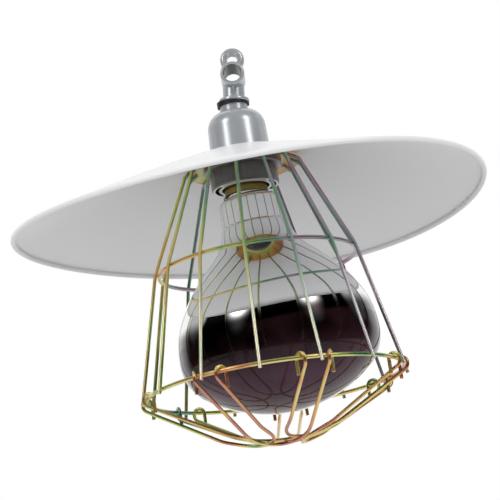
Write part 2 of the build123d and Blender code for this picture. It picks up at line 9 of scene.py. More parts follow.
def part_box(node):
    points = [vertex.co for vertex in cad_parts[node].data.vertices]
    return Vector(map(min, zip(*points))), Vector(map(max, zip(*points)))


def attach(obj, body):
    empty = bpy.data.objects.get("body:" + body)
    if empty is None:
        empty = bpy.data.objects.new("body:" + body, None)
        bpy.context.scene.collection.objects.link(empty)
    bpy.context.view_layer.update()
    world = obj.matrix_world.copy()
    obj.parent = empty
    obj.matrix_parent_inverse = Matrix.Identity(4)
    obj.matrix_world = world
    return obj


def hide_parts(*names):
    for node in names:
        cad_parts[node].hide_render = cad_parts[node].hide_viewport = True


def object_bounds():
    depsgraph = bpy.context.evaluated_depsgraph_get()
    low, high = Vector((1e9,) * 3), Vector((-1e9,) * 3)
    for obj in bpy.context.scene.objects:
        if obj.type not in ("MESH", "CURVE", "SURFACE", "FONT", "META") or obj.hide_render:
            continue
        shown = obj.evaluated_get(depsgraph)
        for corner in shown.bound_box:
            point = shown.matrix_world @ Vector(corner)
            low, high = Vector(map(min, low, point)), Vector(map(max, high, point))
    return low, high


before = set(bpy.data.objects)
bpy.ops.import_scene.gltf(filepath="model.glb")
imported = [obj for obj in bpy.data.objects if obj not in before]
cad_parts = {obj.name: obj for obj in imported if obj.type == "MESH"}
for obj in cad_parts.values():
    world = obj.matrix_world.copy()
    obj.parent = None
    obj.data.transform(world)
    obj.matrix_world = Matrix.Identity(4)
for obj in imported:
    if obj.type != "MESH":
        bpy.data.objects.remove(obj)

bl_info = {
    "name": "Heat Lamp Looks",
    "version": (1, 0, 0),
    "blender": (4, 5, 0),
    "location": "View3D > Sidebar > Heat Lamp",
    "description": "Finishes and fine pieces of a hanging heat lamp with a wire guard",
    "category": "Object",
}


def half_width(node):
    """Half of a CAD node's width along X."""
    low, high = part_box(node)
    return (high.x - low.x) / 2


# Places and sizes taken from the CAD model, in metres
CAD_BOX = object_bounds()
SHADE_LOW, SHADE_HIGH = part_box("shade")
AXIS_X = (SHADE_LOW.x + SHADE_HIGH.x) / 2
RIM_Z = SHADE_LOW.z
RIM_R = half_width("shade")
CROWN_Z = SHADE_HIGH.z
BASE_RIM_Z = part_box("base_shell")[0].z
GLASS_TOP_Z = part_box("bulb_glass")[1].z
SKIRT_LOW_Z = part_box("lampholder_skirt")[0].z
GRILLE_LOW_Z = CAD_BOX[0].z
MID_RING_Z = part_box("mid_ring")[0].z
LOWER_RING_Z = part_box("lower_ring")[0].z
LOWER_RING_R = half_width("lower_ring")
PLATE_R = half_width("guard_plate")
WIRES = sorted(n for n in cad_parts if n.startswith("guard_wire"))
PETALS = sorted(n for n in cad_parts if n.startswith("grille_wire"))


def colour(label, text, default):
    """A linear colour that a user can change."""
    return FloatVectorProperty(name=label, description=text, default=default, subtype="COLOR",
                               min=0.0, max=1.0)


def length(label, text, default):
    """A length in metres that a user can change."""
    return FloatProperty(name=label, description=text, default=default, unit="LENGTH", precision=4)


def angle(label, text, degrees):
    """An angle that a user can change."""
    return FloatProperty(name=label, description=text, default=math.radians(degrees), subtype="ANGLE")


def number(label, text, default, **more):
    """A plain number that a user can change."""
    return FloatProperty(name=label, description=text, default=default, **more)


class HeatLampShade(bpy.types.PropertyGroup):
    """Sizes and enamel of the shade"""

    enamel: colour("Enamel", "White enamel of the shade", (0.80, 0.80, 0.81))
    sheet: length("Sheet", "Thickness of the shade's sheet", 0.001)
    bead: length("Bead", "Radius of the rolled edge", 0.0017)
    crown: length("Crown", "Radius of the flat crown", 0.030)
    hole: length("Hole", "Radius of the hole for the lampholder", 0.0164)
    bend: length("Bend", "How far the crown's bend reaches along the sheet", 0.004)
    warp: length("Warp", "How far the rim is bent out of true", 0.0045)
    warp_turn: angle("Warp turn", "Direction in which the rim is raised", 335.0)


class HeatLampBulb(bpy.types.PropertyGroup):
    """Sizes, coats and stains of the bulb"""

    silver: colour("Silver", "Mirror coat inside the upper bulb", (0.90, 0.90, 0.91))
    # The ruby and face colours are the glass's stain, with painted shade near the coat and painted light on the
    # face
    ruby: colour("Ruby", "Stained glass below the mirror coat", (0.006, 0.0024, 0.0028))
    face: colour("Face", "Stained glass of the bulb's face", (0.060, 0.025, 0.040))
    face_depth: length("Face depth", "How far below the mirror coat the face's stain is full", 0.036)
    coat_depth: length("Coat depth", "How far below the base's rim the mirror coat ends", 0.0912)
    coat_fade: length("Coat fade", "Width of the mirror coat's soft edge", 0.0022)
    coat_thin: length("Coat thinning", "Height over which the mirror coat thins towards its edge", 0.011)
    lean: angle("Lean", "How far the glass leans in its base", 3.3)
    mouth: length("Mouth", "Radius of the glass in the base", 0.0127)
    edge: length("Edge", "Radius of the round edge between belly and face", 0.027)
    face_height: length("Face height", "Height of the belly above the middle of the face", 0.040)
    wall: length("Wall", "Thickness of the glass", 0.0012)
    # The base's dark olive brass is partly its own colour, partly painted shade inside the lampholder's mouth
    base: colour("Base", "Rolled brass of the screw base", (0.30, 0.22, 0.06))


class HeatLampHolder(bpy.types.PropertyGroup):
    """Colours of the hanger, cap and lampholder"""

    pearl: colour("Pearl grey", "Grey moulding of the cap and hanger", (0.52, 0.54, 0.565))
    dark: colour("Dark grey", "Moulding of the lampholder skirt", (0.075, 0.075, 0.077))
    face: colour("Mouth face", "Paler face of the skirt round its mouth", (0.80, 0.80, 0.80))
    rubber: colour("Rubber", "Gasket under the hanger", (0.012, 0.012, 0.012))
    brass: colour("Brass", "Screw shell and contacts", (0.68, 0.50, 0.20))
    ceramic: colour("Ceramic", "Insert of the lampholder", (0.78, 0.74, 0.66))


class HeatLampGuard(bpy.types.PropertyGroup):
    """Zinc and chromate film of the guard and grille"""

    zinc: colour("Zinc", "Bright zinc under a thin film", (0.86, 0.87, 0.84))
    film_scale: number("Film scale", "How quickly the film's tints change along a wire", 16.0, min=1.0)
    drift: number("Drift", "How far the tints shift from the grille up to the plate", 0.22)
    swing: number("Swing", "How widely the tints wander along a wire", 1.0)
    # The side shift is a painted sheen, fixed to one side of each wire
    side_shift: number("Side shift", "How far the tints differ from one side of a wire to the other", 0.09)
    across: number("Across", "How far the tints shift from the guard's middle to its right", 0.30)
    # Pale zinc low on the wires is partly thinner film, partly a painted highlight where the front wires glint
    pale: number("Pale", "How much bright zinc shows through the film low on the wires", 0.6, min=0.0, max=1.0,
                 subtype="FACTOR")


class HeatLampStage(bpy.types.PropertyGroup):
    """Floor, room and lights"""

    floor_z: length("Floor", "Height of the floor", -0.62)
    floor: colour("Floor colour", "Pale floor", (0.72, 0.72, 0.72))
    ambient: number("Ambient", "Level of the room's soft light", 0.83, min=0.0)
    room: number("Room", "Level of the dim room around the lamp, as gloss shows it", 0.006, min=0.0)
    panel: number("Panel", "Level of the pale panels at both sides, as gloss shows them", 0.45, min=0.0)
    floor_r: length("Floor radius", "Radius of the pale floor", 2.25)
    softbox_power: number("Softbox power", "Power of each softbox in watts", 32.0, unit="POWER")
    softbox_width: length("Softbox width", "Width of each softbox", 0.90)
    softbox_height: length("Softbox height", "Height of each softbox", 1.50)
    softbox_distance: length("Softbox distance", "Distance of the softboxes from the lamp", 1.64)


# The colour sockets of a Mix node, whose names its sockets of other kinds share
MIX_FIRST, MIX_SECOND, MIX_RESULT = 6, 7, 2


def add(tree, kind, **settings):
    """A new node with its settings."""
    node = tree.nodes.new(kind)
    for key, value in settings.items():
        setattr(node, key, value)
    return node


def feed(tree, target, value):
    """Links a socket to an input, or sets the input to a plain value."""
    if isinstance(value, bpy.types.NodeSocket):
        tree.links.new(value, target)
    else:
        target.default_value = value


def supply(tree, node, values):
    """Feeds a node's inputs by their names."""
    for label, value in values.items():
        feed(tree, node.inputs[label], value)


def maths(tree, operation, first, second=0.0):
    """A Math node of two sockets or numbers; returns its result."""
    node = add(tree, "ShaderNodeMath", operation=operation)
    feed(tree, node.inputs[0], first)
    feed(tree, node.inputs[1], second)
    return node.outputs[0]


def swing_about(tree, value, width):
    """Spreads a value of 0 to 1 evenly about 0 over a width."""
    return maths(tree, "MULTIPLY", maths(tree, "SUBTRACT", value, 0.5), width)


def spread_up(tree, value, width, low):
    """Spreads a value of 0 to 1 over a width from a lowest level."""
    return maths(tree, "ADD", maths(tree, "MULTIPLY", value, width), low)


def distance(tree, first, second):
    """Distance from an axis, from the two offsets across it."""
    squares = [maths(tree, "POWER", offset, 2.0) for offset in (first, second)]
    return maths(tree, "SQRT", maths(tree, "ADD", *squares))


def place_of(tree):
    """Object coordinates, which are the CAD model's own."""
    return add(tree, "ShaderNodeTexCoord").outputs["Object"]


def xyz(tree, vector):
    """The X, Y and Z sockets of a vector."""
    node = add(tree, "ShaderNodeSeparateXYZ")
    tree.links.new(vector, node.inputs[0])
    return [node.outputs[label] for label in "XYZ"]


def reach_along(tree, vector, way):
    """How far a vector reaches in a fixed direction."""
    node = add(tree, "ShaderNodeVectorMath", operation="DOT_PRODUCT")
    tree.links.new(vector, node.inputs[0])
    node.inputs[1].default_value = way
    return node.outputs["Value"]


def noise(tree, vector, scale, detail=2.0, distortion=0.0):
    """A Noise node on a vector; returns its value."""
    node = add(tree, "ShaderNodeTexNoise")
    supply(tree, node, {"Vector": vector, "Scale": scale, "Detail": detail, "Distortion": distortion})
    return node.outputs["Fac"]


def map_range(tree, value, low, high, start=0.0, end=1.0, kind="LINEAR"):
    """Maps a value between two levels to one between start and end."""
    node = add(tree, "ShaderNodeMapRange", interpolation_type=kind)
    supply(tree, node, {"Value": value, "From Min": low, "From Max": high, "To Min": start, "To Max": end})
    return node.outputs["Result"]


def soft_step(tree, value, low, high):
    """Smooth step of a value from 0 to 1 between two levels."""
    return map_range(tree, value, low, high, kind="SMOOTHSTEP")


def ramp(tree, value, stops):
    """A colour ramp of (place, colour) stops on a value."""
    node = add(tree, "ShaderNodeValToRGB")
    elements = node.color_ramp.elements
    while len(elements) < len(stops):
        elements.new(0.5)
    for element, (place, tint) in zip(elements, stops):
        element.position = place
        element.color = (*tint, 1.0)
    tree.links.new(value, node.inputs["Fac"])
    return node.outputs["Color"]


def vary(tree, value, base, factors, ends=(0.3, 0.7)):
    """A colour times one factor at one end of a value and times another at its other end."""
    tints = [[min(1.0, c * factor) for c in base] for factor in factors]
    return ramp(tree, value, list(zip(ends, tints)))


def blend(tree, share, first, second):
    """Mixes two colours, each a socket or a plain one; a share of 1 gives the second."""
    node = add(tree, "ShaderNodeMix", data_type="RGBA")
    tree.links.new(share, node.inputs["Factor"])
    feed(tree, node.inputs[MIX_FIRST], first)
    feed(tree, node.inputs[MIX_SECOND], second)
    return node.outputs[MIX_RESULT]


def bump(tree, height, strength, depth):
    """A Bump node on a height; returns its normal."""
    node = add(tree, "ShaderNodeBump")
    supply(tree, node, {"Height": height, "Strength": strength, "Distance": depth})
    return node.outputs["Normal"]


def make_group(name, inputs, outputs):
    """A new shader node group; returns it with the sockets it is given and the node for its results."""
    group = bpy.data.node_groups.new(name, "ShaderNodeTree")
    for label, default in inputs.items():
        socket = group.interface.new_socket(name=label, in_out="INPUT", socket_type="NodeSocketFloat")
        socket.default_value = default
    for label, kind in outputs.items():
        group.interface.new_socket(name=label, in_out="OUTPUT", socket_type=kind)
    return group, group.nodes.new("NodeGroupInput").outputs, group.nodes.new("NodeGroupOutput")


def grain_group():
    """Fine surface grain and a broad mottle, shared by most finishes."""
    made = bpy.data.node_groups.get("Surface grain")
    if made:
        return made
    inputs = {"Grain scale": 900.0, "Mottle scale": 30.0, "Roughness": 0.3, "Spread": 0.1}
    outputs = dict.fromkeys(("Height", "Roughness", "Mottle"), "NodeSocketFloat")
    group, given, result = make_group("Surface grain", inputs, outputs)
    place = place_of(group)
    mottle = noise(group, place, given["Mottle scale"], detail=4.0)
    supply(group, result, {
        "Height": noise(group, place, given["Grain scale"], detail=3.0),
        "Roughness": maths(group, "ADD", given["Roughness"], swing_about(group, mottle, given["Spread"])),
        "Mottle": mottle,
    })
    return group


# Tints of the film as it thickens, from orange through gold and green to purple
FILM_TINTS = (
    (0.22, (0.62, 0.20, 0.10)),
    (0.32, (0.88, 0.42, 0.07)),
    (0.41, (0.94, 0.76, 0.22)),
    (0.49, (0.72, 0.78, 0.16)),
    (0.56, (0.24, 0.48, 0.11)),
    (0.63, (0.15, 0.42, 0.31)),
    (0.70, (0.46, 0.44, 0.50)),
    (0.79, (0.46, 0.13, 0.28)),
)
# The side of a wire towards which the tints shift, a painted sheen for the film's colour changing with the
# angle of view, and how far the shift across goes to the guard's left
FILM_SHEEN_SIDE = (0.85, 0.15, 0.35)
FILM_LEFT = -0.1
FILM_GRAIN = 7000.0


def film_group():
    """Tints of the chromate film on zinc: they wander along the wires, drift with height and across, and shift
    towards one side of each wire as a painted sheen.
    """
    made = bpy.data.node_groups.get("Chromate film")
    if made:
        return made
    inputs = {"Scale": 16.0, "Drift": 0.3, "Swing": 1.5, "Side shift": 0.1, "Across": 0.0, "Shift": 0.0}
    outputs = {"Color": "NodeSocketColor", "Roughness": "NodeSocketFloat", "Height": "NodeSocketFloat"}
    group, given, result = make_group("Chromate film", inputs, outputs)
    coordinates = add(group, "ShaderNodeTexCoord").outputs
    place = coordinates["Object"]
    x, _, z = xyz(group, place)
    broad = noise(group, place, given["Scale"], distortion=0.8)
    wander = swing_about(group, broad, given["Swing"])
    tint = maths(group, "ADD", maths(group, "ADD", wander, 0.5), given["Shift"])
    right = maths(group, "DIVIDE", maths(group, "SUBTRACT", x, AXIS_X), LOWER_RING_R)
    shifts = (
        (map_range(group, z, GRILLE_LOW_Z, CROWN_Z, -0.5, 0.5), given["Drift"]),
        (reach_along(group, coordinates["Normal"], FILM_SHEEN_SIDE), given["Side shift"]),
        (maths(group, "MAXIMUM", right, FILM_LEFT), given["Across"]),
    )
    for where, amount in shifts:
        tint = maths(group, "ADD", tint, maths(group, "MULTIPLY", where, amount))
    fine = noise(group, place, FILM_GRAIN)
    supply(group, result, {
        "Color": ramp(group, tint, FILM_TINTS),
        "Roughness": spread_up(group, fine, width=0.04, low=0.32),
        "Height": fine,
    })
    return group


def shader_of(made):
    """A finish's Principled shader."""
    return made.node_tree.nodes["Principled BSDF"]


def new_finish(name):
    """A new material; returns it with its tree and its Principled shader."""
    made = bpy.data.materials.new(name)
    made.use_nodes = True
    return made, made.node_tree, shader_of(made)


def grained(name, base, rough, spread=0.1, tone=0.12, tones=None, ends=(0.3, 0.7), metallic=0.0, coat=0.0,
            coat_rough=0.1, scale=900.0, mottle=30.0, relief=0.1, depth=0.0002):
    """A finish of one colour that varies a little, with fine grain in its gloss and relief."""
    made, tree, shader = new_finish(name)
    group = add(tree, "ShaderNodeGroup", node_tree=grain_group())
    supply(tree, group, {"Grain scale": scale, "Mottle scale": mottle, "Roughness": rough, "Spread": spread})
    factors = tones or (1 - tone, 1 + tone)
    supply(tree, shader, {
        "Base Color": vary(tree, group.outputs["Mottle"], base, factors, ends),
        "Roughness": group.outputs["Roughness"],
        "Metallic": metallic,
        "Coat Weight": coat,
        "Coat Roughness": coat_rough,
        "Normal": bump(tree, group.outputs["Height"], relief, depth),
    })
    return made


def finish_nodes(made, *names):
    """Gives CAD nodes a finish."""
    for name in names:
        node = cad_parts[name]
        node.data.materials.clear()
        node.data.materials.append(made)


# Points nearer than this are one point, in metres, and edges sharper than this stay sharp
WELD = 1e-6
SHARP = math.radians(35)


def draw_chain(bm, points):
    """A chain of edges through points; returns its vertices."""
    verts = [bm.verts.new(point) for point in points]
    for one, two in zip(verts, verts[1:]):
        bm.edges.new((one, two))
    return verts


def spin_round(bm, geom, centre, axis, steps):
    """Spins an outline all the way round, closes its seam and poles and turns the faces outwards."""
    bmesh.ops.spin(bm, geom=geom, cent=centre, axis=axis, angle=math.tau, steps=steps, use_merge=True)
    bmesh.ops.remove_doubles(bm, verts=bm.verts, dist=WELD)
    bmesh.ops.recalc_face_normals(bm, faces=bm.faces)


def new_object(name, bm, made):
    """Turns a bmesh into an object with a finish."""
    mesh = bpy.data.meshes.new(name)
    bm.to_mesh(mesh)
    bm.free()
    mesh.materials.append(made)
    piece = bpy.data.objects.new(name, mesh)
    bpy.context.scene.collection.objects.link(piece)
    return piece


def place_piece(name, bm, made, body, node):
    """Turns a bmesh into a smooth piece that rides on a body and stands for a CAD node."""
    piece = new_object(name, bm, made)
    mesh = piece.data
    mesh.polygons.foreach_set("use_smooth", [True] * len(mesh.polygons))
    mesh.set_sharp_from_angle(angle=SHARP)
    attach(piece, body)
    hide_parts(node)


# Fineness of the shade's mesh, and the height at which the sheet meets the rolled edge, in the edge's radii
SHADE_STEPS = 180
CROWN_SEGMENTS = 6
SLOPE_CUTS = 16
BEAD_SEGMENTS = 14
SHEET_SEAT = 1.97


class HEATLAMP_OT_shade(bpy.types.Operator):
    """Spin the enamelled shade and bend its rim a little out of true"""

    bl_idname = "heatlamp.shade"
    bl_label = "Shade"

    def execute(self, context):
        look = context.scene.heat_lamp_shade
        enamel = grained("white_enamel", look.enamel, 0.36, 0.06, tones=(0.975, 1.0), ends=(0.1, 0.9), coat=0.2,
                         coat_rough=0.24, scale=350.0, mottle=9.0, relief=0.03, depth=0.0004)
        centre, upright = (AXIS_X, 0.0, 0.0), (0.0, 0.0, 1.0)
        edge_r = RIM_R - look.bead
        corners = ((look.hole, CROWN_Z), (look.crown, CROWN_Z), (edge_r, RIM_Z + SHEET_SEAT * look.bead))

        bm = bmesh.new()
        top = draw_chain(bm, [(AXIS_X + r, 0.0, z) for r, z in corners])
        bmesh.ops.bevel(bm, geom=[top[1]], offset=look.bend, offset_type="OFFSET", segments=CROWN_SEGMENTS,
                        profile=0.5, affect="VERTICES", material=-1)
        slope = max(bm.edges, key=lambda e: e.calc_length())
        bmesh.ops.subdivide_edges(bm, edges=[slope], cuts=SLOPE_CUTS)
        spin_round(bm, list(bm.verts) + list(bm.edges), centre, upright, SHADE_STEPS)
        # The open sheet faces up before it gets its thickness
        downward = [f for f in bm.faces if f.normal.z < 0]
        if len(downward) > len(bm.faces) / 2:
            bmesh.ops.reverse_faces(bm, faces=bm.faces)
        bmesh.ops.solidify(bm, geom=bm.faces, thickness=look.sheet)

        bead = bmesh.ops.create_circle(bm, segments=BEAD_SEGMENTS, radius=look.bead)["verts"]
        bmesh.ops.rotate(bm, verts=bead, cent=(0, 0, 0), matrix=Matrix.Rotation(math.pi / 2, 3, "X"))
        bmesh.ops.translate(bm, verts=bead, vec=(AXIS_X + edge_r, 0.0, RIM_Z + look.bead))
        loop = bead + list(dict.fromkeys(e for v in bead for e in v.link_edges))
        spin_round(bm, loop, centre, upright, SHADE_STEPS)

        for v in bm.verts:
            reach = Vector((v.co.x - AXIS_X, v.co.y))
            lift = look.warp * math.cos(2 * (math.atan2(reach.y, reach.x) - look.warp_turn))
            v.co.z += lift * (max(0.0, reach.length - look.crown) / (RIM_R - look.crown)) ** 2
        place_piece("shade_enamelled", bm, enamel, "lamp", "shade")
        return {"FINISHED"}


MM = 1000  # in a metre
# Slope of the bulb's outline off its axis, in degrees, at depths below the glass's rim in millimetres
BULB_SLOPES = (
    (9.0, 67.7), (10.6, 67.7), (12.2, 33.0), (14.4, 3.2), (28.0, 3.2), (28.6, 35.0), (29.2, 35.0),
    (30.0, 14.0), (36.0, 19.5), (40.0, 29.5), (44.0, 40.0), (48.0, 44.0), (53.0, 43.2), (58.0, 42.1),
    (63.5, 40.3), (68.2, 37.2), (74.5, 32.2), (80.8, 26.6), (87.1, 19.2), (93.4, 11.8), (99.7, 5.8),
    (107.5, 0.0),
)
# Step along those depths and taper of the mouth in millimetres, points of each arc and steps of the spin
BULB_STEP = 0.5
MOUTH_TAPER = 0.1
ARC_STEPS = 24
BULB_STEPS = 128


def slope_at(depth):
    """Slope of the bulb's outline in degrees, between the listed ones."""
    for (above, first), (below, second) in zip(BULB_SLOPES, BULB_SLOPES[1:]):
        if depth <= below:
            return first + (second - first) * max(0.0, depth - above) / (below - above)
    return BULB_SLOPES[-1][1]


def arc(across, along, radius, start, end):
    """Points of an arc about a middle, after its first."""
    turns = [start + (end - start) * step / ARC_STEPS for step in range(1, ARC_STEPS + 1)]
    return [(across + radius * math.cos(turn), along + radius * math.sin(turn)) for turn in turns]


def bulb_outline(look):
    """Half outline of the bulb as (radius, depth) in metres, from its mouth to the middle of its face."""
    top, belly = BULB_SLOPES[0][0], BULB_SLOPES[-1][0]
    radius = MM * look.mouth
    points = [(radius - MOUTH_TAPER, 0.0), (radius, top)]
    for step in range(round((belly - top) / BULB_STEP)):
        middle = top + (step + 0.5) * BULB_STEP
        near = [slope_at(middle + shift * BULB_STEP / 2) for shift in (-1, 0, 1)]
        radius += BULB_STEP * math.tan(math.radians(sum(near) / 3))
        points.append((radius, top + (step + 1) * BULB_STEP))
    # The round edge runs into the face, an arc about the bulb's own axis, without a kink
    edge_r, face_h = MM * look.edge, MM * look.face_height
    across = radius - edge_r
    face_r = (across ** 2 + face_h ** 2 - edge_r ** 2) / (2 * (face_h - edge_r))
    turn = math.atan2(face_r - face_h, across)
    points += arc(across, belly, edge_r, 0.0, turn)
    points += arc(0.0, belly + face_h - face_r, face_r, turn, math.pi / 2)
    return [(max(0.0, r) / MM, depth / MM) for r, depth in points]


# How far the coat's edge wanders, in metres, and the share of the face's depth at which its paler stain,
# painted light through the glass, sets in
COAT_WANDER = 0.002
LIT_FACE_START = 0.3


def silvered_ruby(look, up):
    """Glass with a mirror coat above a wavy edge and a ruby stain below, darkened near the coat as painted
    shade of the unlit inside and paler on the face as painted light through the glass.
    """
    made, tree, shader = new_finish("silvered_ruby_glass")
    place = place_of(tree)
    wander = swing_about(tree, noise(tree, place, scale=60.0, detail=3.0), COAT_WANDER)
    height = maths(tree, "ADD", reach_along(tree, place, up), wander)
    edge = up.dot(Vector((AXIS_X, 0.0, BASE_RIM_Z))) - look.coat_depth
    # The metal sets in below the place where it turns bright, so that the coat's edge fades through dark ruby
    metal = soft_step(tree, height, edge - look.coat_fade, edge)
    silvered = maths(tree, "POWER", soft_step(tree, height, edge, edge + look.coat_thin), 2.0)
    cloud = noise(tree, place, scale=25.0, detail=3.0)
    smear = noise(tree, place, scale=40.0, detail=4.0)
    ruby = vary(tree, cloud, look.ruby, factors=(0.1, 3.0), ends=(0.42, 0.68))
    stain = vary(tree, cloud, look.face, factors=(0.6, 1.4), ends=(0.35, 0.65))
    silver = vary(tree, cloud, look.silver, factors=(0.97, 1.0), ends=(0.35, 0.65))
    # Painted shade and light: the ruby is darkest near the coat, and the face's stain is paler
    shade_near_coat = soft_step(tree, height, edge - look.face_depth, edge - LIT_FACE_START * look.face_depth)
    supply(tree, shader, {
        "Base Color": blend(tree, silvered, blend(tree, shade_near_coat, stain, ruby), silver),
        "Metallic": metal,
        "Roughness": spread_up(tree, smear, width=0.03, low=0.005),
        "Coat Weight": maths(tree, "SUBTRACT", 1.0, silvered),
        "Coat Roughness": 0.02,
        "Coat IOR": 1.24,
        "Specular IOR Level": 0.05,
    })
    return made


class HEATLAMP_OT_bulb(bpy.types.Operator):
    """Spin the bulb's glass, silvered above and ruby below, and finish its base and what is inside it"""

    bl_idname = "heatlamp.bulb"
    bl_label = "Bulb"

    def execute(self, context):
        look = context.scene.heat_lamp_bulb
        up = Vector((-math.sin(look.lean), 0.0, math.cos(look.lean)))
        sideways = Vector((up.z, 0.0, -up.x))
        outline = bulb_outline(look)
        rim = Vector((AXIS_X, 0.0, GLASS_TOP_Z - outline[0][0] * math.sin(look.lean)))
        bm = bmesh.new()
        draw_chain(bm, [rim + sideways * r - up * depth for r, depth in outline])
        spin_round(bm, list(bm.verts) + list(bm.edges), rim, up, BULB_STEPS)
        bmesh.ops.solidify(bm, geom=bm.faces, thickness=look.wall)
        bmesh.ops.recalc_face_normals(bm, faces=bm.faces)
        place_piece("bulb_blown", bm, silvered_ruby(look, up), "bulb", "bulb_glass")

        finish_nodes(grained("stem_glass", (0.72, 0.76, 0.75), 0.08, 0.06, coat=0.6), "stem_mount")
        tungsten = grained("drawn_tungsten", (0.20, 0.20, 0.21), 0.4, metallic=1.0, scale=2500.0)
        finish_nodes(tungsten, "filament", "filament_supports")
        nickel = grained("nickel_leads", (0.55, 0.53, 0.50), 0.3, metallic=1.0, scale=2500.0)
        finish_nodes(nickel, "lead_wires")
        # Darker brass than the lampholder's: partly painted shade inside the mouth
        brass = grained("base_sheet", look.base, 0.34, tone=0.3, metallic=1.0, scale=1500.0, mottle=120.0)
        finish_nodes(brass, "base_shell")
        finish_nodes(grained("black_glass", (0.012, 0.012, 0.014), 0.12, coat=0.5), "base_insulator")
        finish_nodes(grained("solder", (0.45, 0.44, 0.43), 0.42, metallic=1.0, scale=700.0), "base_contact")
        return {"FINISHED"}


# The heights above the skirt's lowest edge at which its paler face fades out, in metres, and how far a surface
# looks down where that face sets in
SKIRT_FADE = (0.002, 0.001)
SKIRT_DOWN = (0.80, 0.95)


def skirt_finish(look):
    """Dark moulding with drawn streaks down its side and a paler face round the mouth."""
    made, tree, shader = new_finish("dark_grey_moulding")
    coordinates = add(tree, "ShaderNodeTexCoord").outputs
    place = coordinates["Object"]
    drawn = add(tree, "ShaderNodeMapping")
    supply(tree, drawn, {"Vector": place, "Scale": (1.0, 1.0, 0.04)})
    streak = noise(tree, drawn.outputs["Vector"], scale=420.0, detail=3.0)
    mottle = noise(tree, place, scale=160.0, detail=3.0)
    side = vary(tree, streak, look.dark, factors=(0.8, 1.25))
    face = vary(tree, mottle, look.face, factors=(0.85, 1.0))
    upward = xyz(tree, coordinates["Normal"])[2]
    below = soft_step(tree, maths(tree, "MULTIPLY", upward, -1.0), *SKIRT_DOWN)
    low = soft_step(tree, xyz(tree, place)[2], *(SKIRT_LOW_Z + rise for rise in SKIRT_FADE))
    supply(tree, shader, {
        "Base Color": blend(tree, maths(tree, "MULTIPLY", below, low), side, face),
        "Roughness": spread_up(tree, streak, width=0.16, low=0.22),
        "Metallic": 0.15,
        "Coat Weight": 0.8,
        "Coat Roughness": 0.12,
        "Normal": bump(tree, streak, strength=0.04, depth=0.0002),
    })
    return made


# The hanger's cable inlet, a bore along Y: its place, its radius and the soft edge of the painted shade inside
# it, in metres
INLET_X = -0.00119
INLET_Z = -0.01234
INLET_R = 0.0055
INLET_EDGE = (0.0001, 0.0003)
INLET_PAINTED_SHADE = (0.02, 0.02, 0.021, 1.0)


def paint_inlet_shade(made):
    """Paints shade inside the hanger's cable inlet: the finish grows dark there."""
    tree = made.node_tree
    target = shader_of(made).inputs["Base Color"]
    x, _, z = xyz(tree, place_of(tree))
    away = distance(tree, maths(tree, "SUBTRACT", x, INLET_X), maths(tree, "SUBTRACT", z, INLET_Z))
    outside = soft_step(tree, away, *(INLET_R + edge for edge in INLET_EDGE))
    tree.links.new(blend(tree, outside, INLET_PAINTED_SHADE, target.links[0].from_socket), target)


class HEATLAMP_OT_holder(bpy.types.Operator):
    """Finish the hanger, cap, lampholder and its contacts"""

    bl_idname = "heatlamp.holder"
    bl_label = "Lampholder and hanger"

    def execute(self, context):
        look = context.scene.heat_lamp_holder
        pearl = grained("pearl_grey_moulding", look.pearl, 0.25, 0.08, tone=0.05, metallic=0.45, coat=0.2,
                        coat_rough=0.12, scale=1600.0, mottle=45.0, relief=0.06)
        shader_of(pearl).inputs["Specular Tint"].default_value = (0.45, 0.46, 0.48, 1.0)
        finish_nodes(pearl, "cap")
        # A copy of the grey moulding with painted shade inside the cable inlet, for the hanger
        inside = pearl.copy()
        inside.name = "pearl_grey_hanger_inlet_shade"
        paint_inlet_shade(inside)
        finish_nodes(inside, "hanger")
        finish_nodes(grained("black_rubber", look.rubber, 0.55, scale=1200.0, relief=0.3), "hanger_gasket")
        finish_nodes(skirt_finish(look), "lampholder_skirt")
        ceramic = grained("unglazed_ceramic", look.ceramic, 0.62, scale=600.0, relief=0.25)
        finish_nodes(ceramic, "lampholder_insert")
        brass = grained("rolled_brass", look.brass, 0.3, tone=0.2, metallic=1.0, scale=1500.0, mottle=60.0)
        finish_nodes(brass, "screw_shell", "centre_contact", "terminal_blocks")
        plated = grained("bright_zinc", (0.60, 0.61, 0.62), 0.3, metallic=1.0, scale=1500.0)
        finish_nodes(plated, "hanger_washer", "hanger_nut", "contact_spring", "terminal_screws")
        return {"FINISHED"}


# Where the pale zinc, partly thinner film and partly a painted highlight, sets in from the guard's left and is
# full, in radii of the lower ring beside the axis
PALE_HIGHLIGHT_EDGE = (-0.8, -0.4)
# The share of the plate's radius over which its film stays green, its shift there and at the rim, and its scale
PLATE_GREEN = 0.65
PLATE_SHIFTS = (0.03, -0.19)
PLATE_SCALE = 30.0


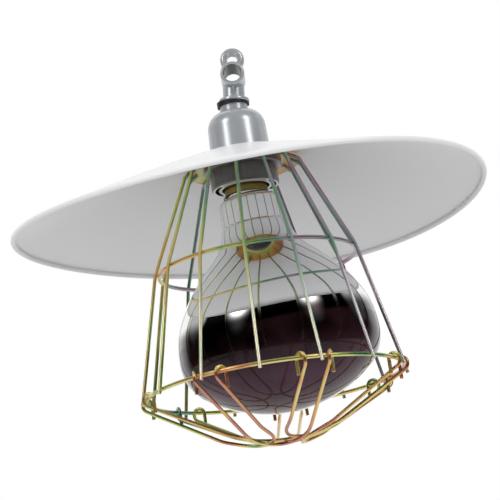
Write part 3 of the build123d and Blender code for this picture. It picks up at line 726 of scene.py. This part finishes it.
def chromated(look, name, scale, swing, drift=0.0, shift=0.0, across=0.0, pale=0.0):
    """Zinc with a chromate film: tinted metal, paler low down and away from the guard's left by a share (partly
    thinner film, partly a painted highlight), under a clear gloss.
    """
    made, tree, shader = new_finish(name)
    film = add(tree, "ShaderNodeGroup", node_tree=film_group())
    supply(tree, film, {"Scale": scale, "Drift": drift, "Swing": swing, "Side shift": look.side_shift,
                        "Across": across, "Shift": shift})
    x, _, z = xyz(tree, place_of(tree))
    # Painted highlight: the film turns to pale zinc low on the wires, except at the guard's left
    low = soft_step(tree, z, MID_RING_Z, (MID_RING_Z + LOWER_RING_Z) / 2)
    front = soft_step(tree, x, *(AXIS_X + edge * LOWER_RING_R for edge in PALE_HIGHLIGHT_EDGE))
    share = maths(tree, "MULTIPLY", maths(tree, "MULTIPLY", low, front), pale)
    supply(tree, shader, {
        "Base Color": blend(tree, share, film.outputs["Color"], (*look.zinc, 1.0)),
        "Roughness": film.outputs["Roughness"],
        "Metallic": 1.0,
        "Coat Weight": 1.0,
        "Coat Roughness": 0.34,
        "Coat IOR": 2.0,
        "Normal": bump(tree, film.outputs["Height"], strength=0.01, depth=0.0001),
    })
    return made


def redden_rim(made):
    """Lets the plate's film run from green at its middle through gold to orange at its rim."""
    tree = made.node_tree
    x, y, _ = xyz(tree, place_of(tree))
    away = distance(tree, maths(tree, "SUBTRACT", x, AXIS_X), y)
    film = next(n for n in tree.nodes if n.type == "GROUP")
    shift = map_range(tree, away, PLATE_GREEN * PLATE_R, PLATE_R, *PLATE_SHIFTS)
    tree.links.new(shift, film.inputs["Shift"])


class HEATLAMP_OT_guard(bpy.types.Operator):
    """Finish the guard's plate, rings and wires with their chromate film"""

    bl_idname = "heatlamp.guard"
    bl_label = "Guard"

    def execute(self, context):
        look = context.scene.heat_lamp_guard
        scale, swing = look.film_scale, look.swing
        wire = chromated(look, "chromated_wire", scale, swing=0.65 * swing, drift=look.drift, shift=0.02,
                         across=look.across, pale=look.pale)
        finish_nodes(wire, *WIRES)
        ring = chromated(look, "chromated_mid_ring", scale, swing=0.8 * swing, shift=0.08, across=look.across)
        finish_nodes(ring, "mid_ring")
        ring = chromated(look, "chromated_lower_ring", scale, swing=swing, shift=-0.05)
        finish_nodes(ring, "lower_ring")
        plate = chromated(look, "chromated_plate", PLATE_SCALE, swing=0.5 * swing)
        redden_rim(plate)
        supply(plate.node_tree, shader_of(plate), {
            "Metallic": 0.1,
            "Sheen Weight": 1.0,
            "Sheen Roughness": 0.3,
            "Sheen Tint": (1.0, 0.98, 0.92, 1.0),
        })
        finish_nodes(plate, "guard_plate")
        return {"FINISHED"}


class HEATLAMP_OT_grille(bpy.types.Operator):
    """Finish the hooked wires of the grille with their chromate film"""

    bl_idname = "heatlamp.grille"
    bl_label = "Grille"

    def execute(self, context):
        look = context.scene.heat_lamp_guard
        grille = chromated(look, "chromated_grille", look.film_scale, swing=1.4 * look.swing, drift=look.drift)
        finish_nodes(grille, *PETALS)
        return {"FINISHED"}


# The floor's middle in metres, and the softboxes and panels by azimuth and elevation in degrees
FLOOR_MIDDLE = (-0.6, 1.5)
FLOOR_SEGMENTS = 128
SOFTBOXES = (("softbox_left", -45.0, 31.5), ("softbox_right", 46.0, 31.0))
SOFTBOX_FADE = 4.0
PANELS = ((-112.0, 29.0), (113.0, 27.0))
# Cosines, off straight behind and off a panel's middle, between which the room and the panel turn bright
BACK_EDGE = (0.50, 0.75)
PANEL_EDGE = (0.955, 0.985)
WHITE = (1.0, 1.0, 1.0, 1.0)
# The camera fitted to the photograph: its axes, its place in metres, its lens and sensor in millimetres
CAMERA_RIGHT = Vector((0.98877, 0.03465, -0.14537))
CAMERA_UP = Vector((0.14944, -0.22927, 0.96183))
CAMERA_AHEAD = Vector((0.0, 0.97275, 0.23187))
CAMERA_PLACE = (AXIS_X - 0.00324, -1.3862, RIM_Z - 0.3503)
CAMERA_LENS = 164.72
CAMERA_SENSOR = 36.0
CAMERA_REACH = 100.0


def direction(azimuth, elevation):
    """Unit vector from the lamp, its azimuth in degrees counted from the front towards the right."""
    turn, rise = math.radians(azimuth), math.radians(elevation)
    return Vector((math.sin(turn) * math.cos(rise), -math.cos(turn) * math.cos(rise), math.sin(rise)))


def lay_floor(look):
    """Lays the round pale floor."""
    bm = bmesh.new()
    bmesh.ops.create_circle(bm, cap_ends=True, segments=FLOOR_SEGMENTS, radius=look.floor_r)
    bmesh.ops.translate(bm, verts=bm.verts, vec=(*FLOOR_MIDDLE, look.floor_z))
    made = grained("pale_floor", look.floor, 0.7, tone=0.02, scale=80.0, mottle=3.0, relief=0.02)
    floor = new_object("floor", bm, made)


def soften(lamp):
    """Lets an area light fade from its middle to its edges."""
    lamp.use_nodes = True
    tree = lamp.node_tree
    sides = xyz(tree, add(tree, "ShaderNodeNewGeometry").outputs["Parametric"])[:2]
    squares = [maths(tree, "POWER", swing_about(tree, side, 2.0), 2.0) for side in sides]
    away = maths(tree, "ADD", *squares)
    fade = maths(tree, "POWER", math.e, maths(tree, "MULTIPLY", away, -SOFTBOX_FADE))
    glow = maths(tree, "MAXIMUM", maths(tree, "SUBTRACT", fade, math.exp(-SOFTBOX_FADE)), 0.0)
    tree.links.new(glow, tree.nodes["Emission"].inputs["Strength"])


def set_softboxes(look):
    """Sets a softbox at each side of the camera, turned to the lamp's middle."""
    aim = Vector((AXIS_X, 0.0, (CAD_BOX[0].z + CAD_BOX[1].z) / 2))
    for name, azimuth, elevation in SOFTBOXES:
        lamp = bpy.data.lights.new(name, "AREA")
        lamp.shape = "RECTANGLE"
        lamp.size = look.softbox_width
        lamp.size_y = look.softbox_height
        lamp.energy = look.softbox_power
        soften(lamp)
        box = bpy.data.objects.new(name, lamp)
        bpy.context.scene.collection.objects.link(box)
        away = direction(azimuth, elevation)
        box.location = aim + away * look.softbox_distance
        box.rotation_euler = away.to_track_quat("Z", "Y").to_euler()


def light_room(look):
    """Makes the room: white behind the lamp, soft light all round, and panels in a dim room for gloss."""
    world = bpy.data.worlds.new("studio")
    bpy.context.scene.world = world
    world.use_nodes = True
    tree = world.node_tree
    towards = add(tree, "ShaderNodeTexCoord").outputs["Generated"]
    _, y, z = xyz(tree, towards)
    # Slightly more than 1, so that nothing is divided by zero straight up and down
    level_part = maths(tree, "SQRT", maths(tree, "SUBTRACT", 1.0001, maths(tree, "POWER", z, 2.0)))
    bright = soft_step(tree, maths(tree, "DIVIDE", y, level_part), *BACK_EDGE)
    for azimuth, elevation in PANELS:
        patch = soft_step(tree, reach_along(tree, towards, direction(azimuth, elevation)), *PANEL_EDGE)
        bright = maths(tree, "MAXIMUM", bright, maths(tree, "MULTIPLY", patch, look.panel))
    murk = maths(tree, "MULTIPLY", noise(tree, towards, scale=5.0, detail=3.0), 2.0 * look.room)
    bright = maths(tree, "MAXIMUM", bright, murk)
    paths = add(tree, "ShaderNodeLightPath").outputs
    seen = maths(tree, "MAXIMUM", paths["Is Camera Ray"], paths["Is Transmission Ray"])
    glossy = paths["Is Glossy Ray"]
    plain = maths(tree, "SUBTRACT", 1.0, maths(tree, "MAXIMUM", seen, glossy))
    level = maths(tree, "MAXIMUM", seen, maths(tree, "MULTIPLY", glossy, bright))
    level = maths(tree, "ADD", level, maths(tree, "MULTIPLY", plain, look.ambient))
    supply(tree, tree.nodes["Background"], {"Color": WHITE, "Strength": level})


def set_camera():
    """Sets the camera at the photograph's viewing angle."""
    view = bpy.data.cameras.new("camera")
    view.sensor_width = CAMERA_SENSOR
    view.lens = CAMERA_LENS
    view.clip_end = CAMERA_REACH
    camera = bpy.data.objects.new("camera", view)
    bpy.context.scene.collection.objects.link(camera)
    turned = Matrix((CAMERA_RIGHT, CAMERA_UP, -CAMERA_AHEAD)).transposed()
    camera.matrix_world = Matrix.Translation(CAMERA_PLACE) @ turned.to_4x4()
    bpy.context.scene.camera = camera


class HEATLAMP_OT_stage(bpy.types.Operator):
    """Lay the floor and set the lights, the room and the camera"""

    bl_idname = "heatlamp.stage"
    bl_label = "Stage"

    def execute(self, context):
        look = context.scene.heat_lamp_stage
        context.scene.view_settings.view_transform = "Standard"
        lay_floor(look)
        set_softboxes(look)
        light_room(look)
        set_camera()
        return {"FINISHED"}


# Each group of settings by its name on the scene, with the operators that read it
SECTIONS = (
    ("heat_lamp_shade", HeatLampShade, (HEATLAMP_OT_shade,)),
    ("heat_lamp_bulb", HeatLampBulb, (HEATLAMP_OT_bulb,)),
    ("heat_lamp_holder", HeatLampHolder, (HEATLAMP_OT_holder,)),
    ("heat_lamp_guard", HeatLampGuard, (HEATLAMP_OT_guard, HEATLAMP_OT_grille)),
    ("heat_lamp_stage", HeatLampStage, (HEATLAMP_OT_stage,)),
)


class HEATLAMP_PT_panel(bpy.types.Panel):
    """The lamp's pieces and their settings"""

    bl_label = "Heat Lamp"
    bl_idname = "HEATLAMP_PT_panel"
    bl_space_type = "VIEW_3D"
    bl_region_type = "UI"
    bl_category = "Heat Lamp"

    def draw(self, context):
        for name, group, operators in SECTIONS:
            settings = getattr(context.scene, name)
            column = self.layout.box().column()
            for operator in operators:
                column.operator(operator.bl_idname)
            for key in group.__annotations__:
                column.prop(settings, key)


def register():
    """Registers the settings, the operators and the panel."""
    for name, group, operators in SECTIONS:
        bpy.utils.register_class(group)
        setattr(bpy.types.Scene, name, PointerProperty(type=group))
        for operator in operators:
            bpy.utils.register_class(operator)
    bpy.utils.register_class(HEATLAMP_PT_panel)


def unregister():
    """Takes back what register did."""
    bpy.utils.unregister_class(HEATLAMP_PT_panel)
    for name, group, operators in SECTIONS:
        for operator in operators:
            bpy.utils.unregister_class(operator)
        delattr(bpy.types.Scene, name)
        bpy.utils.unregister_class(group)


def main():
    """Builds the lamp's looks piece by piece."""
    register()
    bpy.ops.heatlamp.shade()
    bpy.ops.heatlamp.bulb()
    bpy.ops.heatlamp.holder()
    bpy.ops.heatlamp.guard()
    bpy.ops.heatlamp.grille()
    bpy.ops.heatlamp.stage()


if __name__ == "__main__":
    main()
